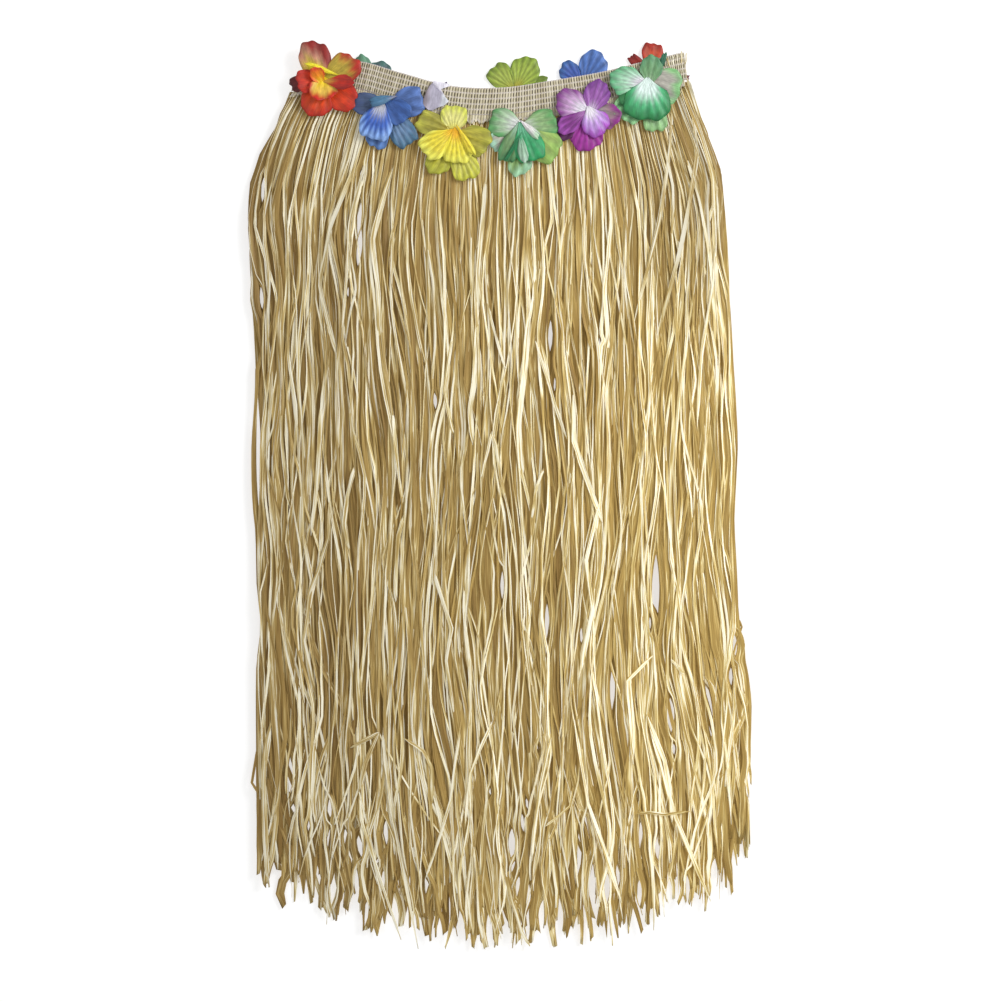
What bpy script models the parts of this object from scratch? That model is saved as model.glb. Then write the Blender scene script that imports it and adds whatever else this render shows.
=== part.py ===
"""Grass skirt, laid flat with its front up.

X runs across the skirt, Y from the hem to the waist and Z up from the surface that it lies on.
The origin is on that surface, under the middle of the whole skirt. Lengths are in metres.
"""
from collections import namedtuple
import math

import bmesh
import bpy
import numpy as np

MM = 0.001
SEAM = 0.3 * MM  # space kept between two pieces that touch

# Waistband: a woven raffia tube pressed flat, with rows of elastic across its ribs
BAND_WALL = 2.0 * MM
BAND_HOLLOW = 1.0 * MM  # space left inside the flattened tube
ELASTIC_ROWS = 6
ELASTIC_RELIEF = 0.5 * MM
BAND_STATIONS = 19  # sections from one side fold to the other
FOLD_STATIONS = 4  # sections round each side fold

# Sections of the band from the left fold to the right one, in mm: its top edge and its lower edge
BandSection = namedtuple("BandSection", "top_x top_y low_x low_y")
BAND = (
    BandSection(-175, 401.0, -192, 378.0),
    BandSection(-133, 404.5, -140, 380.0),
    BandSection(-93, 394.0, -100, 370.0),
    BandSection(-45, 381.5, -49, 357.0),
    BandSection(3, 380.0, 1, 355.0),
    BandSection(48, 386.5, 50, 361.5),
    BandSection(92, 394.0, 96, 369.0),
    BandSection(133, 404.0, 138, 379.0),
    BandSection(169, 412.5, 172, 388.0),
)

# Blossoms pressed under the back of the band lie on the surface in two layers of petals
BACK_INNER_WALL = 1.3 * MM
BACK_OUTER_WALL = 1.5 * MM
BACK_BLOSSOM_TOP = BACK_INNER_WALL + SEAM + BACK_OUTER_WALL

# Heights of the band above the surface
BAND_BACK = BACK_BLOSSOM_TOP + SEAM + ELASTIC_RELIEF
BAND_MIDDLE = BAND_BACK + BAND_WALL + BAND_HOLLOW / 2
BAND_FRONT = BAND_BACK + 2 * BAND_WALL + BAND_HOLLOW
BAND_CREST = BAND_FRONT + ELASTIC_RELIEF

# Fringe: each layer of strands hangs from its own gathered heading under the band
HEADING_DEPTH = 6.0 * MM
HEADING_WALL = 0.8 * MM
STRAND_WALL = 1.3 * MM
STRAND_FILL = 0.62  # strand width as a share of the spacing of the strands
TIP_FILL = 0.36
SIDE_SHIFT = 0.7 * MM  # most that one strand leaves its lane
LANE_SWAY = 3.0 * MM  # sideways sway that a whole layer shares
RAGGED = 24 * MM  # most that one strand is shorter than the hem
RING_AT = (0.05, 0.17, 0.42, 0.70, 1.0)  # where a strand's sections are, as shares of its length

# Layers from the surface up: height of the underside at the heading, at the neck and where it lies
Layer = namedtuple("Layer", "name strands root neck lie lift")
LAYERS = (
    Layer("fringe_back_outer", 53, 3.9, 2.4, 0.0, 0.0),
    Layer("fringe_back_inner", 54, 5.0, 4.4, 2.6, 0.7),
    Layer("fringe_front_inner", 55, 7.0, 6.4, 5.2, 0.7),
    Layer("fringe_front_outer", 54, 8.1, 8.0, 7.8, 2.4),
)

# Outline of the fringe in mm: how far its left and right sides reach along a strand's length
Spread = namedtuple("Spread", "share left right")
SPREAD = (
    Spread(0.000, -196, 173),
    Spread(0.045, -213, 189),
    Spread(0.090, -224, 201),
    Spread(0.130, -231, 207),
    Spread(0.180, -233, 211),
    Spread(0.270, -232, 215),
    Spread(0.390, -227, 218),
    Spread(0.520, -227, 221),
    Spread(0.640, -229, 224),
    Spread(0.770, -227, 228),
    Spread(0.890, -225, 232),
    Spread(1.000, -223, 231),
)
HEM_LOW = -424 * MM  # the middle of the hem
HEM_RISE = 62 * MM  # how much higher the hem is at the sides
HEM_POWER = 2.2
HEM_HALF_WIDTH = 229 * MM

# Blossoms, in mm: middle, width, height, and the turn of one petal in degrees
Blossom = namedtuple("Blossom", "name x y width height turn rim colour")
PETALS = 5
NOTCH = 0.64  # the dip between two petals as a share of the radius
FRONT_WALL = 1.2 * MM
INNER_SHARE = 0.58  # size of the inner petals beside the outer ones
INNER_RISE = 7.0  # rise of the inner rim, in mm
RIM_RIPPLE = 0.5 * MM
FRONT_BLOSSOMS = (
    Blossom("red", -161, 388.0, 58, 71, 118, 7.0, "#C42A1A"),
    Blossom("blue", -103, 351.5, 64, 56, 60, 2.0, "#4A78C8"),
    Blossom("yellow", -43, 328.5, 66, 68, 90, 7.0, "#E3CC35"),
    Blossom("green", 22, 328.5, 67, 64, 105, 2.0, "#5DAA6A"),
    Blossom("purple", 81, 354.0, 58, 65, 70, 7.0, "#93409E"),
    Blossom("mint", 136, 376.0, 62, 72, 80, 2.0, "#74B883"),
)
BACK_BLOSSOMS = (
    Blossom("teal", -118, 378.0, 60, 62, 110, 0.0, "#5F8F86"),
    Blossom("violet", -50, 361.5, 60, 46, 92, 0.0, "#6E3D86"),
    Blossom("lime", 14, 378.0, 60, 60, 130, 0.0, "#B3BC3B"),
    Blossom("azure", 77, 383.5, 60, 60, 139, 0.0, "#3E6CC2"),
    Blossom("scarlet", 144, 391.0, 60, 60, 97, 0.0, "#C04028"),
)

# One petal of the violet blossom is turned over the top edge of the band, down its front
TURNED_AT = 0.345  # where it crosses the band, as a share of the band's run
TURNED_WALL = 1.0 * MM
# Its sections in mm: distance below the band's top edge, height of its middle, and width
TurnedSection = namedtuple("TurnedSection", "below height width")
TURNED = (
    TurnedSection(27.0, 10.4, 16.0),
    TurnedSection(22.0, 10.7, 23.0),
    TurnedSection(14.0, 10.8, 24.0),
    TurnedSection(6.0, 10.5, 16.0),
    TurnedSection(-0.3, 10.3, 12.0),
    TurnedSection(-1.4, 9.2, 11.0),
    TurnedSection(-1.4, 6.2, 11.0),
    TurnedSection(-1.4, 3.4, 11.0),
)


def linear(hex_colour):
    """The linear colour of an sRGB hex value."""
    shares = [int(hex_colour[i : i + 2], 16) / 255 for i in (1, 3, 5)]
    curve = [s / 12.92 if s <= 0.04045 else ((s + 0.055) / 1.055) ** 2.4 for s in shares]
    return (*curve, 1.0)


def add_solid(name, points, faces, hex_colour, roughness, smooth=True):
    """A named object of these points and faces, facing out, with its own material."""
    mesh = bpy.data.meshes.new(name)
    mesh.from_pydata(np.asarray(points, float).tolist(), [], [list(map(int, f)) for f in faces])
    form = bmesh.new()
    form.from_mesh(mesh)
    bmesh.ops.recalc_face_normals(form, faces=form.faces)
    form.to_mesh(mesh)
    form.free()
    if smooth:
        mesh.shade_smooth()
        mesh.set_sharp_from_angle(angle=math.radians(40))
    material = bpy.data.materials.new(name)
    material.use_nodes = True
    shader = material.node_tree.nodes["Principled BSDF"]
    shader.inputs["Base Color"].default_value = linear(hex_colour)
    shader.inputs["Roughness"].default_value = roughness
    shader.inputs["Metallic"].default_value = 0.0
    mesh.materials.append(material)
    made = bpy.data.objects.new(name, mesh)
    bpy.context.scene.collection.objects.link(made)
    return made


def band_section(run):
    """Top and lower edge at shares of the run: a cubic through the sections, in metres."""
    rows = np.array(BAND, float) * MM
    rows = np.vstack([2 * rows[0] - rows[1], rows, 2 * rows[-1] - rows[-2]])
    place = np.clip(np.asarray(run, float), 0, 1) * (len(BAND) - 1)
    first = np.minimum(place.astype(int), len(BAND) - 2)
    t = (place - first)[:, None]
    before, start, end, after = (rows[first + i] for i in range(4))
    slope_in = (end - before) / 2
    slope_out = (after - start) / 2
    return (
        (2 * t**3 - 3 * t**2 + 1) * start
        + (t**3 - 2 * t**2 + t) * slope_in
        + (3 * t**2 - 2 * t**3) * end
        + (t**3 - t**2) * slope_out
    )


def below_top(run, depth):
    """Points of the band's plan at a depth below its top edge, one for each run."""
    edges = band_section(run)
    down = edges[:, 2:] - edges[:, :2]
    down /= np.linalg.norm(down, axis=1)[:, None]
    return edges[:, :2] + down * np.broadcast_to(depth, len(edges))[:, None]


def below_low(run, depth):
    """Points of the plan at a depth below the band's lower edge, which is straight between its stations."""
    stations = np.linspace(0, 1, BAND_STATIONS)
    edges = band_section(stations)
    height = np.linalg.norm(edges[:, 2:] - edges[:, :2], axis=1)
    points = below_top(stations, height + depth)
    return np.column_stack([np.interp(run, stations, points[:, axis]) for axis in (0, 1)])


def band_wall(half, shares):
    """A flattened loop: straight front and back runs joined by half rounds of this half thickness.

    half has one value for each share of the band's height, so that it may swell and sink."""
    forward = np.linspace(0, 1, BAND_STATIONS)
    turn = np.linspace(0, math.pi, FOLD_STATIONS + 2)[1:-1]
    run = np.concatenate([forward, np.ones(FOLD_STATIONS), forward[::-1], np.zeros(FOLD_STATIONS)])
    angle = np.concatenate([np.zeros(BAND_STATIONS), turn, np.full(BAND_STATIONS, math.pi), math.pi + turn])
    edges = band_section(run)
    ends = band_section([0.0, 0.02, 0.98, 1.0])
    step = np.array([ends[1] - ends[0], ends[3] - ends[2]])
    way = step / np.linalg.norm(step[:, :2], axis=1)[:, None]
    out = np.where((run < 0.5)[:, None], way[0], way[1])
    plan = edges[:, None, :2] * (1 - shares[None, :, None]) + edges[:, None, 2:] * shares[None, :, None]
    plan = plan + out[:, None, :2] * (np.sin(angle)[:, None] * half[None, :])[:, :, None]
    height = BAND_MIDDLE + np.cos(angle)[:, None] * half[None, :]
    return np.dstack([plan, height])


def make_waistband():
    """The outer wall has a crest for each row of elastic, and the inside is plain."""
    outer_shares = np.linspace(0, 1, 2 * ELASTIC_ROWS + 1)
    crest = np.arange(len(outer_shares)) % 2
    half_thickness = BAND_WALL + BAND_HOLLOW / 2
    outer = band_wall(half_thickness + ELASTIC_RELIEF * crest, outer_shares)
    inner = band_wall(np.full(2, BAND_HOLLOW / 2), np.array([0.0, 1.0]))
    stations, lines = outer.shape[:2]
    points = np.vstack([outer.reshape(-1, 3), inner.reshape(-1, 3)])
    inside = stations * lines
    faces = []
    for i in range(stations):
        j = (i + 1) % stations
        for k in range(lines - 1):
            faces.append((i * lines + k, j * lines + k, j * lines + k + 1, i * lines + k + 1))
        top_in, low_in = inside + 2 * i, inside + 2 * i + 1
        next_top_in, next_low_in = inside + 2 * j, inside + 2 * j + 1
        top_out, next_top_out = i * lines, j * lines
        low_out, next_low_out = i * lines + lines - 1, j * lines + lines - 1
        faces.append((top_in, low_in, next_low_in, next_top_in))
        faces.append((top_out, top_in, next_top_in, next_top_out))
        faces.append((low_out, next_low_out, next_low_in, low_in))
    add_solid("waistband", points, faces, "#C9C1A6", 0.7)


def hem_height(across):
    """The hem is lowest in the middle and rises to the sides by a power of the distance."""
    return HEM_LOW + HEM_RISE * (np.abs(across) / HEM_HALF_WIDTH) ** HEM_POWER


def strand_middles(layer, rng):
    """Middle line of every strand in its own lane, with its width, as arrays of strand by section."""
    lane = (np.arange(layer.strands) + 0.5) / layer.strands
    share = np.array(RING_AT)
    rows = np.array(SPREAD, float)
    left = np.interp(share, rows[:, 0], rows[:, 1]) * MM
    right = np.interp(share, rows[:, 0], rows[:, 2]) * MM
    spacing = (right - left) / layer.strands
    fill = np.interp(share, (0.0, 0.8, 1.0), (STRAND_FILL, STRAND_FILL, TIP_FILL))
    root = below_low(lane, SEAM + HEADING_DEPTH)
    straight = rows[0, 1] * MM + (rows[0, 2] - rows[0, 1]) * MM * lane
    x = left + (right - left) * lane[:, None]
    x = x + (root[:, 0] - straight)[:, None] * (1 - share) ** 2
    sway = 2 * math.pi * 2.3 * share + 4.0 * lane[:, None] + 1.7 * layer.root
    x = x + LANE_SWAY * share * np.sin(sway)
    x = x + SIDE_SHIFT * rng.uniform(-1, 1, x.shape)
    hem = hem_height(x[:, -1]) + RAGGED * rng.uniform(0, 1, layer.strands) ** 2
    y = root[:, 1][:, None] + (hem - root[:, 1])[:, None] * share
    width = spacing * fill * rng.uniform(0.9, 1.05, x.shape)
    return x, y, width


def make_fringe(layer, seed):
    """A gathered heading whose lower side runs on into flat strands of four sides."""
    rng = np.random.default_rng(seed)
    x, y, width = strand_middles(layer, rng)
    strands, rings = x.shape
    columns = np.linspace(0, 1, strands + 1)
    upper = below_low(columns, SEAM)
    lower = below_low(columns, SEAM + HEADING_DEPTH)
    low = layer.root * MM
    high = low + HEADING_WALL
    heading = np.zeros((strands + 1, 4, 3))
    for corner, (plan, height) in enumerate(((upper, low), (upper, high), (lower, low), (lower, high))):
        heading[:, corner, :2] = plan
        heading[:, corner, 2] = height

    # Sections of the strands, square to each strand's own run
    under = np.interp(RING_AT, RING_AT[:3], (layer.neck, layer.lie, layer.lie)) * MM
    loose = np.array([0.0, 0.5, 1.0, 1.0, 0.6])
    under = under + layer.lift * MM * loose * rng.uniform(0, 1, x.shape)
    root = (lower[1:] + lower[:-1]) / 2
    run_x = np.gradient(np.column_stack([root[:, 0], x]), axis=1)[:, 1:]
    run_y = np.gradient(np.column_stack([root[:, 1], y]), axis=1)[:, 1:]
    length = np.hypot(run_x, run_y)
    side_x, side_y = -run_y / length, run_x / length
    section = np.zeros((strands, rings, 4, 3))
    for corner, (side, rise) in enumerate(((-1, 0), (1, 0), (1, 1), (-1, 1))):
        section[:, :, corner, 0] = x + side * side_x * width / 2
        section[:, :, corner, 1] = y + side * side_y * width / 2
        section[:, :, corner, 2] = under + rise * STRAND_WALL
    points = np.vstack([heading.reshape(-1, 3), section.reshape(-1, 3)])

    faces = []
    for i in range(strands):
        a, b = 4 * i, 4 * (i + 1)
        faces.append((a, b, b + 2, a + 2))
        faces.append((a + 1, a + 3, b + 3, b + 1))
        faces.append((a, a + 1, b + 1, b))
        ring = [a + 2, b + 2, b + 3, a + 3]
        for k in range(rings):
            start = 4 * (strands + 1) + 4 * (i * rings + k)
            following = [start, start + 1, start + 2, start + 3]
            for side in range(4):
                after = (side + 1) % 4
                faces.append((ring[side], ring[after], following[after], following[side]))
            ring = following
        faces.append(ring)
    last = 4 * strands
    faces.append((0, 2, 3, 1))
    faces.append((last, last + 1, last + 3, last + 2))
    add_solid(layer.name, points, faces, "#D3BC82", 0.55, smooth=False)


def blossom_outline(angle, turn):
    """Radius of five round petals as a share of the largest: a dip at each notch between them."""
    lobe = np.abs(np.cos(PETALS / 2 * (angle - turn))) ** 0.5
    return NOTCH + (1 - NOTCH) * lobe


def make_petals(name, blossom, share, underside, rise, ripple, wall, colour, around=25, rings=2):
    """A sheet of five petals, flat in the middle and rising to the rim as the square of the radius."""
    turn = math.radians(blossom.turn)
    angle = turn + np.radians(np.arange(around) * 360 / around - 180 / PETALS)
    reach = blossom_outline(angle, turn)
    points = [(blossom.x * MM, blossom.y * MM, underside)]
    points.append((blossom.x * MM, blossom.y * MM, underside + wall))
    for k in range(1, rings + 1):
        part = k / rings
        x = blossom.x + blossom.width / 2 * share * part * reach * np.cos(angle)
        y = blossom.y + blossom.height / 2 * share * part * reach * np.sin(angle)
        wave = -ripple * np.cos(PETALS * (angle - turn))
        z = underside + (rise * MM + wave) * part**2
        for lift in (0.0, wall):
            points.extend(np.column_stack([x * MM, y * MM, z + lift]))
    faces = []
    for i in range(around):
        j = (i + 1) % around
        faces.append((0, 2 + j, 2 + i))
        faces.append((1, 2 + around + i, 2 + around + j))
        for k in range(rings - 1):
            below, above = 2 + 2 * around * k, 2 + 2 * around * k + around
            further = 2 * around
            faces.append((below + i, below + j, below + j + further, below + i + further))
            faces.append((above + j, above + i, above + i + further, above + j + further))
        rim = 2 + 2 * around * (rings - 1)
        faces.append((rim + i, rim + j, rim + around + j, rim + around + i))
    add_solid(name, points, faces, colour, 0.5)


def make_front_blossoms():
    """Two cupped layers of petals in each, sewn to the lower part of the band."""
    seat = BAND_CREST + SEAM
    for blossom in FRONT_BLOSSOMS:
        outer = f"blossom_{blossom.name}_outer"
        inner = f"blossom_{blossom.name}_inner"
        make_petals(outer, blossom, 1.0, seat, blossom.rim, RIM_RIPPLE, FRONT_WALL, blossom.colour)
        inner_seat = seat + FRONT_WALL + SEAM
        make_petals(inner, blossom, INNER_SHARE, inner_seat, INNER_RISE, RIM_RIPPLE, FRONT_WALL, blossom.colour)


def make_back_blossoms():
    """Pressed flat between the surface and the back of the band, face down."""
    for blossom in BACK_BLOSSOMS:
        outer = f"blossom_back_{blossom.name}_outer"
        inner = f"blossom_back_{blossom.name}_inner"
        make_petals(inner, blossom, INNER_SHARE, 0.0, 0.0, 0.0, BACK_INNER_WALL, blossom.colour, rings=1)
        outer_seat = BACK_INNER_WALL + SEAM
        make_petals(outer, blossom, 1.0, outer_seat, 0.0, 0.0, BACK_OUTER_WALL, blossom.colour, rings=1)


def make_turned_petal():
    """Sections across the petal, walled on both sides of its middle surface and square to its run."""
    rows = np.array(TURNED, float) * MM
    run_below = np.gradient(rows[:, 0])
    run_up = np.gradient(rows[:, 1])
    length = np.hypot(run_below, run_up)
    half = TURNED_WALL / 2
    edges = band_section([TURNED_AT, TURNED_AT + 0.01])
    along = edges[1, :2] - edges[0, :2]
    along /= np.linalg.norm(along)
    points = []
    for side in (-1, 1):
        for face in (-1, 1):
            below = rows[:, 0] - face * half * run_up / length
            height = rows[:, 1] + face * half * run_below / length
            plan = below_top(np.full(len(rows), TURNED_AT), below)
            plan = plan + side * along * (rows[:, 2] / 2)[:, None]
            points.append(np.column_stack([plan, height]))
    count = len(rows)
    corner = [0, count, 3 * count, 2 * count]
    faces = [[c for c in corner], [c + count - 1 for c in corner[::-1]]]
    for k in range(count - 1):
        for side in range(4):
            a, b = corner[side], corner[(side + 1) % 4]
            faces.append((a + k, b + k, b + k + 1, a + k + 1))
    add_solid("blossom_back_violet_turned_petal", np.vstack(points), faces, "#CFC8DC", 0.5)


def main():
    for old in list(bpy.data.objects):
        bpy.data.objects.remove(old)
    make_waistband()
    for seed, layer in enumerate(LAYERS, start=1):
        make_fringe(layer, seed)
    make_front_blossoms()
    make_back_blossoms()
    make_turned_petal()


main()
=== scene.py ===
"""Grass skirt laid flat: raffia ribbons, a woven raffia band and dyed cloth blossoms, seen from above.

X runs across the skirt, Y from the hem to the waist and Z up from the floor. Lengths are in metres.
"""

from collections import namedtuple
import math

import bpy
import numpy as np
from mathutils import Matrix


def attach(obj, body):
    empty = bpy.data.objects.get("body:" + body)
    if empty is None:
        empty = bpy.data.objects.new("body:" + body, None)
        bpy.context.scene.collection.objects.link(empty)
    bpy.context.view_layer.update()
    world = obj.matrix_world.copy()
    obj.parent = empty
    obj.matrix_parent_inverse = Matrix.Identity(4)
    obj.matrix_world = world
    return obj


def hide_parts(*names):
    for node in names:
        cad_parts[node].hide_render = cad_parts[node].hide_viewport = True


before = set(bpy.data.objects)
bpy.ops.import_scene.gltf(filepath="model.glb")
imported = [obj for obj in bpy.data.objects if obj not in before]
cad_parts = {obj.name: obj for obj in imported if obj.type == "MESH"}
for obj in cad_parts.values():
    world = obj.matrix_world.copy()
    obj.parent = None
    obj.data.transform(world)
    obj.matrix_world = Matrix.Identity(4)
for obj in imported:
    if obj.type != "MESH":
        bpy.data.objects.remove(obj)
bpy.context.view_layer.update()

MM = 0.001
PIXEL = 0.93  # mm of the skirt to a pixel of the picture
PICTURE = 1002  # pixels across the picture


def table(columns, *rows):
    """Records with these named columns, one for each row."""
    record = namedtuple("record", columns)
    return [record(*row) for row in rows]


# sizes shared with the part's source
SEAM = 0.3 * MM
BAND_WALL = 2.0 * MM
BAND_HOLLOW = 1.0 * MM
BAND_MIDDLE = 6.4 * MM
HEADING_DEPTH = 6.0 * MM
TURNED_AT = 0.345

BAND = table(
    "top_x top_y low_x low_y",
    (-175, 401.0, -192, 378.0), (-133, 404.5, -140, 380.0), (-93, 394.0, -100, 370.0),
    (-45, 381.5, -49, 357.0), (3, 380.0, 1, 355.0), (48, 386.5, 50, 361.5), (92, 394.0, 96, 369.0),
    (133, 404.0, 138, 379.0), (169, 412.5, 172, 388.0),
)

SPREAD = table(
    "share left right",
    (0.000, -196, 173), (0.045, -213, 185), (0.090, -224, 197), (0.130, -232, 206), (0.180, -235, 209),
    (0.270, -230, 213), (0.390, -227, 215), (0.520, -226, 219), (0.640, -224, 215), (0.770, -225, 219),
    (0.890, -224, 231), (1.000, -223, 231),
)
HEM_LOW = -424 * MM
HEM_RISE = 62 * MM
HEM_POWER = 2.2
HEM_HALF_WIDTH = 229 * MM

# raffia ribbons
# Heights and widths in mm; tone is 0 for shaded straw and 1 for pale cream straw, and the ranges are painted
# light and shade, palest for the loose top sheaf
SHEAVES = table(
    "layer heading seed ribbons points low high width thinnest "
    "tone_low tone_high pinch wander kink twist short",
    ("back_outer", "back_outer", 11, 200, 32, 0.4, 2.6, 6.0, 0.7, 0.46, 0.64, 0.20, 1.8, 0.3, 8, 120),
    ("back_inner", "back_inner", 12, 200, 32, 2.4, 4.6, 6.0, 0.7, 0.40, 0.60, 0.25, 1.8, 0.3, 8, 120),
    ("front_inner", "front_inner", 13, 240, 42, 4.6, 7.0, 6.6, 0.5, 0.26, 0.48, 0.35, 2.2, 0.4, 8, 110),
    ("front_outer", "front_outer", 14, 330, 56, 6.8, 9.2, 4.8, 0.4, 0.20, 0.57, 0.50, 3.2, 0.7, 14, 95),
    ("front_loose", "front_outer", 15, 190, 54, 9.0, 11.2, 2.3, 0.4, 0.58, 1.0, 0.60, 4.5, 0.9, 30, 100),
)
LOCKS = 27  # locks that the ribbons of one sheaf gather in
RUN = 850  # mm that a ribbon runs from the heading to the hem
RIBBON_THICK = 0.22 * MM
PAINTED_GLOW_SHARE = 0.12  # painted glow: the raffia emits this share of its own colour, which lightens the shade between ribbons

# Waves that a whole sheaf shares: size in mm, turns along the length, turns across the skirt
WAVES = table(
    "size along across",
    (4.0, 1.3, 2.5), (2.2, 3.1, 6.0), (1.3, 5.6, 13.0),
)

# Slits where the ribbons part and the floor shows, in mm; lean is the run of x for each step of y
PARTINGS = table(
    "x top low width lean",
    (-212, 357, 329, 5.6, 0.45), (-129, 308, 292, 3.7, 0), (-221, 299, 271, 3.3, 0),
    (-131, 276, 244, 4.2, 0.1), (-131, 246, 212, 4.7, 0.14), (-142, 198, 182, 2.8, 0),
    (-222, 197, 171, 3.7, 0), (47, 167, 132, 4.2, 0), (93, 150, 140, 2.8, 0), (51, 114, 95, 2.8, 0),
    (-60, 97, 80, 2.8, 0), (-225, 89, -13, 3.3, 0), (145, -56, -119, 7.0, 0), (2, -67, -99, 3.3, 0),
    (-225, -97, -143, 3.7, 0), (44, -97, -136, 4.2, 0), (140, -109, -128, 2.8, 0), (76, -121, -140, 2.8, 0),
    (219, -128, -150, 4.7, 0), (105, -156, -203, 4.7, 0), (215, -156, -180, 3.7, 0),
    (195, -180, -223, 5.1, 0), (159, -187, -220, 7.0, 0), (36, -228, -242, 3.3, 0),
    (162, -228, -244, 3.7, 0), (-195, -242, -283, 4.7, 0), (231, -255, -281, 3.7, 0),
    (-9, -269, -282, 2.8, 0), (128, -272, -286, 2.8, 0), (25, -278, -296, 2.8, 0),
    (-159, -281, -305, 4.2, 0), (-193, -284, -297, 3.7, 0), (21, -293, -317, 3.3, 0),
    (80, -298, -330, 6.5, 0), (-135, -300, -310, 3.7, 0), (131, -300, -331, 3.7, 0),
    (-178, -301, -314, 2.8, 0), (-107, -301, -328, 4.7, 0), (-158, -307, -332, 3.3, 0),
    (-141, -309, -339, 6.0, -0.25), (11, -309, -338, 6.5, 0), (74, -311, -358, 3.7, 0),
    (-131, -314, -338, 5.1, -0.15), (146, -316, -338, 3.3, 0), (-114, -336, -347, 3.3, 0),
    (13, -339, -357, 4.7, 0), (199, -339, -362, 5.6, 0), (-210, -342, -366, 4.7, 0),
    (109, -342, -364, 3.7, 0), (86, -344, -387, 5.6, 0), (-133, -345, -374, 3.7, 0),
    (-109, -346, -369, 3.3, 0), (174, -350, -376, 3.7, 0), (100, -352, -376, 4.7, 0),
    (17, -352, -377, 3.7, 0), (-155, -355, -380, 4.7, 0), (-68, -357, -369, 3.3, 0),
    (-198, -357, -380, 5.6, 0), (130, -357, -380, 4.7, 0), (158, -357, -380, 4.7, 0),
    (27, -358, -409, 4.7, 0), (-137, -371, -394, 4.7, 0), (-124, -376, -399, 3.7, 0),
    (-97, -376, -408, 5.6, 0), (39, -376, -404, 4.7, 0), (56, -380, -413, 4.7, 0),
    (-35, -390, -418, 3.7, 0), (-11, -390, -418, 3.7, 0), (-79, -390, -418, 3.7, 0),
    (-56, -394, -422, 4.7, 0), (70, -394, -418, 3.7, 0),
)

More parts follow.
